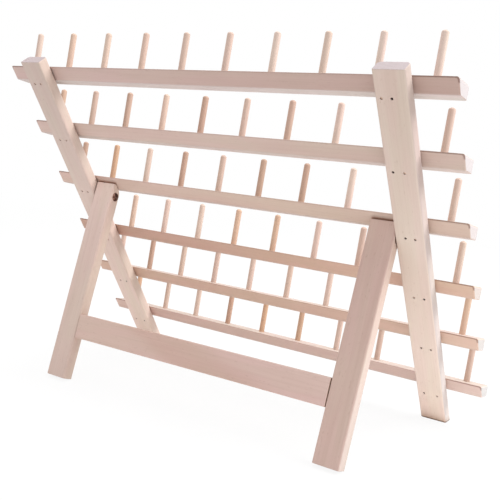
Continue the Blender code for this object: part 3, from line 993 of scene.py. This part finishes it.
def paintedLegShade(graph, spot, board, colour):
    # Painted shade: the pivot holes are darkened brown inside, with a painted shadow along the back of
    # their rim. The edges that turn against rail and post get a painted brown shadow for the gaps
    # there, on the side only where the left leg meets its post
    sideways, y, z = graph.split(spot)
    reach = ((y - hinge.y) ** 2.0 + (z - hinge.z) ** 2.0) ** 0.5
    wall = pivot["headRadius"] + pivot["gap"]
    # Painted shade inside the pivot hole
    inside = 1 - graph.ramp(reach, *around(wall, legShade["insideFade"]))
    colour = graph.stain(colour, legShade["boreShadeTint"], inside * legShade["boreShare"])
    # Painted shadow along the back of the hole's rim
    rise = around(wall, legShade["boreShadowRise"])
    fall = around(wall, legShade["boreShadowFall"])
    boreShadow = graph.band(reach, rise, fall)
    boreShadow = boreShadow * (1 - graph.ramp(y, *around(hinge.y, legShade["frontFade"])))
    colour = graph.stain(colour, legShade["boreShadowTint"], boreShadow * legShade["boreShare"])
    # Painted shadow of the gaps where the top of the leg meets the rail, and where the left leg meets
    # its post
    normal = graph.node("ShaderNodeTexCoord", output="Normal")
    turn = legPlace.to_3x3()
    onTop = graph.band(graph.facing(normal, turn @ up), legShade["topRise"], legShade["topFall"])
    cutWay = turn @ Vector((0, math.cos(openAngle), math.sin(openAngle)))
    onCut = graph.ramp(graph.facing(normal, cutWay), *legShade["cutRise"])
    onSide = graph.band(graph.facing(normal, right), legShade["sideRise"], legShade["sideFall"])
    onSide = onSide * graph.ramp(sideways * -1, leg["x"], legOuter)
    gapShade = graph.larger(graph.larger(onTop, onCut), onSide)
    gapShade = gapShade * graph.ramp(graph.split(board)[0], *legShade["upperRise"])
    return graph.stain(colour, legShade["gapShadeTint"], gapShade * legShade["gapShadeShare"])


# Stretcher: the board between the legs, its back flush with theirs
stretcher = {
    "height": 0.0217,
    "thickness": 0.010,
    "top": 0.0609,           # over the legs' feet, along the legs
    "slope": -0.55,
    "rounding": 0.0011,
    "endRounding": 0.0003,
    "roundingSteps": 3,
    "jointGap": 0.00025,
    "lengthStep": 0.020,
    "uneven": 0.00012,
    "seed": 17,
    "log": (0.31, -0.030, 0.046),
    "figureSlant": 3.2,
    "figureWaves": ((14.0, 60.0, 60.0), 2.0),
    "figureWander": 0.05,
    "figureRise": (-0.065, -0.030),
    "figureFall": (0.010, 0.075),
    "figureTint": (0.93, 0.895, 0.865, 1),
}


def makeStretcher():
    y = stretcher["thickness"] / 2
    z = stretcher["height"] / 2
    length = 2 * (legInner - stretcher["jointGap"])
    bm = plainBar(((-y, -z), (y, -z), (y, z), (-y, z)), length)
    roundBar(bm, stretcher, facesAlongX)
    cutAlong(bm, right, -length / 2, length / 2, stretcher["lengthStep"])
    mesh = toMesh(bm, "stretcher")
    handMade(mesh, stretcher["uneven"], stretcher["seed"])
    middle = Matrix.Translation((0, leg["back"] + y, stretcher["top"] - leg["foot"] - z))
    place = legPlace @ middle @ Matrix.Rotation(math.radians(stretcher["slope"]), 4, "Y")
    mesh.transform(place)
    name = "stretcher"
    span = (-length / 2, length / 2)
    finish = woodMaterial(name, place, False, span, stretcher["log"], extra=warmFigure)
    piece = newPiece(name + "_board", mesh, finish, "leg_frame", [name])
    smoothShade(piece)


def warmFigure(graph, spot, board, colour):
    # The grain runs out through the stretcher's face in a slanting, warmer figure
    along, height = graph.split(board)[::2]
    wander = graph.noise(board, *stretcher["figureWaves"])
    lean = along + height * stretcher["figureSlant"] + (wander - 0.5) * stretcher["figureWander"]
    figure = graph.band(lean, stretcher["figureRise"], stretcher["figureFall"])
    return graph.stain(colour, stretcher["figureTint"], figure)


# Pivot screws: from inside each leg into its post, the heads sunk in the legs
pivot = {
    "radius": 0.0018,
    "headRadius": 0.0032,
    "headHeight": 0.0022,
    "headSink": 0.0020,
    "headRim": 0.0006,
    "grip": 0.012,
    "tip": 0.003,
    "recessReach": 0.0018,
    "recessWidth": 0.0009,
    "recessDepth": 0.0013,
    "recessStart": 0.001,    # over the head
    "recessTaper": 0.55,
    "domeAcross": 0.5,       # share of the head's radius
    "domeDown": 0.12,        # shares of the rim
    "rimDown": 1.3,
    "rimSteps": 5,
    "gap": 0.0003,
    "steps": 40,
    "colour": (0.520, 0.310, 0.250, 1),
    "rust": (0.430, 0.230, 0.170, 1),
    "roughness": 0.45,
    "scuff": 0.30,
}


def makeScrews():
    finish = metalMaterial("screwSteel", pivot)
    head = pivot["headRadius"]
    shank = pivot["radius"]
    top = pivot["headSink"]
    rim = pivot["headRim"]
    neck = top + pivot["headHeight"]
    end = postInner - legInner + pivot["grip"]
    profile = [(0, top), (head * pivot["domeAcross"], top + rim * pivot["domeDown"])]
    for step in range(pivot["rimSteps"] + 1):
        turn = quarterTurn * step / pivot["rimSteps"]
        height = top + rim * pivot["rimDown"] - rim * math.cos(turn)
        profile.append((head - rim + rim * math.sin(turn), height))
    profile += [(head, neck), (shank, neck), (shank, end - pivot["tip"]), (0, end)]
    for side, label in sides:
        spot = Matrix.Translation((side * legInner, rack["pivotDepth"], rack["pivotHeight"]))
        place = ladderPlace @ spot @ Matrix.Rotation(side * quarterTurn, 4, "Y")
        screw = turnedShape(profile, pivot["steps"], Matrix.Identity(4))
        mesh = carve(toMesh(screw, "screw"), toMesh(crossRecess(), "recess"))
        mesh.transform(place)
        name = "pivot_screw_" + label
        piece = newPiece(name + "_fine", mesh, finish, "rack", [name])
        smoothShade(piece)


def crossRecess():
    # A tapered cross that the screwdriver fits, along the screw's axis
    far = pivot["recessReach"]
    near = pivot["recessWidth"] / 2
    arm = [(far, near), (near, near), (near, far)]
    bm = bmesh.new()
    outline = []
    for quarter in range(4):
        outline += arm
        arm = [(-y, x) for x, y in arm]
    start = pivot["headSink"] - pivot["recessStart"]
    face = bm.faces.new([bm.verts.new((x, y, start)) for x, y in outline])
    grown = bmesh.ops.extrude_face_region(bm, geom=[face])
    moved = [item for item in grown["geom"] if isinstance(item, bmesh.types.BMVert)]
    bmesh.ops.scale(bm, vec=(pivot["recessTaper"], pivot["recessTaper"], 1), verts=moved)
    bmesh.ops.translate(bm, verts=moved, vec=(0, 0, pivot["recessStart"] + pivot["recessDepth"]))
    bmesh.ops.recalc_face_normals(bm, faces=bm.faces[:])
    return bm


# The stretcher's dowels keep their solids' shape
dowel = {
    "span": (-0.012, 0.012),
    "log": (1, -0.012, -0.02),       # the first turns with the side
}


def dressCadNodes():
    for side, label in sides:
        place = legPlace @ Matrix.Translation((side * legInner, 0, 0))
        along, across, through = dowel["log"]
        birch = woodMaterial("dowel", place, False, dowel["span"], (along * side, across, through))
        for level in ("lower", "upper"):
            setMaterial("stretcher_dowel_%s_%s" % (label, level), birch)


def setMaterial(name, material):
    mesh = frame["nodes"][name].data
    mesh.materials.clear()
    mesh.materials.append(material)


makePosts()
print("posts made")
makeRails()
print("rails made")
makePegs()
print("pegs made")
makeNails()
print("nails made")
makeLegs()
makeStretcher()
print("leg frame made")
makeScrews()
dressCadNodes()
print("hardware made")


# A white studio: a floor that bounces light up, a large soft lamp overhead and one at the right
studio = {
    "floorSize": 12.0,
    "floorColour": (0.90, 0.90, 0.90, 1),
    "floorGlow": 0.90,       # share of plain white that the camera sees near the rack
    "glowNear": 0.45,
    "glowFar": 1.6,
    "skyLight": 0.74,
    "topPower": 9.0,
    "topSize": 0.9,
    "topSpot": (-0.1, 0.10, 1.3),
    "topAim": (0.02, -0.05, 0),
    "keyPower": 13.0,
    "keySize": 0.8,
    "keySpot": (0.9, 0.35, 0.95),
    "keyAim": (0, 0, 0.13),
}


def makeFloor():
    bm = bmesh.new()
    bmesh.ops.create_grid(bm, x_segments=1, y_segments=1, size=studio["floorSize"] / 2)
    graph = Graph("studioFloor")
    seen = graph.node("ShaderNodeLightPath", output="Is Camera Ray")
    spot = graph.node("ShaderNodeTexCoord", output="Object")
    away = graph.node("ShaderNodeVectorMath", {"operation": "LENGTH"}, {0: spot}, 1)
    least = studio["floorGlow"]
    share = graph.ramp(away, studio["glowNear"], studio["glowFar"]) * (1 - least) + least
    matte = graph.node("ShaderNodeBsdfDiffuse", {}, {"Color": studio["floorColour"]})
    glow = graph.node("ShaderNodeEmission", {}, {"Color": (1, 1, 1, 1), "Strength": 1.0})
    blend = graph.node("ShaderNodeMixShader", {}, {0: seen * share, 1: matte, 2: glow})
    mesh = toMesh(bm, "floor")
    mesh.materials.append(graph.finish(blend))
    floor = bpy.data.objects.new("floor", mesh)
    bpy.context.scene.collection.objects.link(floor)


def makeSky():
    world = bpy.data.worlds.new("studioSky")
    world.use_nodes = True
    bpy.context.scene.world = world
    tree = world.node_tree
    back = tree.nodes["Background"]
    path = tree.nodes.new("ShaderNodeLightPath")
    direct = tree.nodes.new("ShaderNodeMath")
    direct.operation = "MAXIMUM"
    tree.links.new(path.outputs["Is Camera Ray"], direct.inputs[0])
    tree.links.new(path.outputs["Is Glossy Ray"], direct.inputs[1])
    level = tree.nodes.new("ShaderNodeMapRange")
    tree.links.new(direct.outputs[0], level.inputs["Value"])
    level.inputs["To Min"].default_value = studio["skyLight"]
    level.inputs["To Max"].default_value = 1.0
    tree.links.new(level.outputs[0], back.inputs["Strength"])
    back.inputs["Color"].default_value = (1, 1, 1, 1)


def makeLamp(name):
    data = bpy.data.lights.new(name + "Lamp", "AREA")
    data.energy = studio[name + "Power"]
    data.size = studio[name + "Size"]
    lamp = bpy.data.objects.new(name + "Lamp", data)
    spot = Vector(studio[name + "Spot"])
    lamp.location = spot
    lamp.rotation_euler = (Vector(studio[name + "Aim"]) - spot).to_track_quat("-Z", "Y").to_euler()
    lamp.visible_camera = False
    bpy.context.scene.collection.objects.link(lamp)


makeFloor()
makeSky()
makeLamp("top")
makeLamp("key")
bpy.context.scene.view_settings.view_transform = "Standard"
print("studio lit")
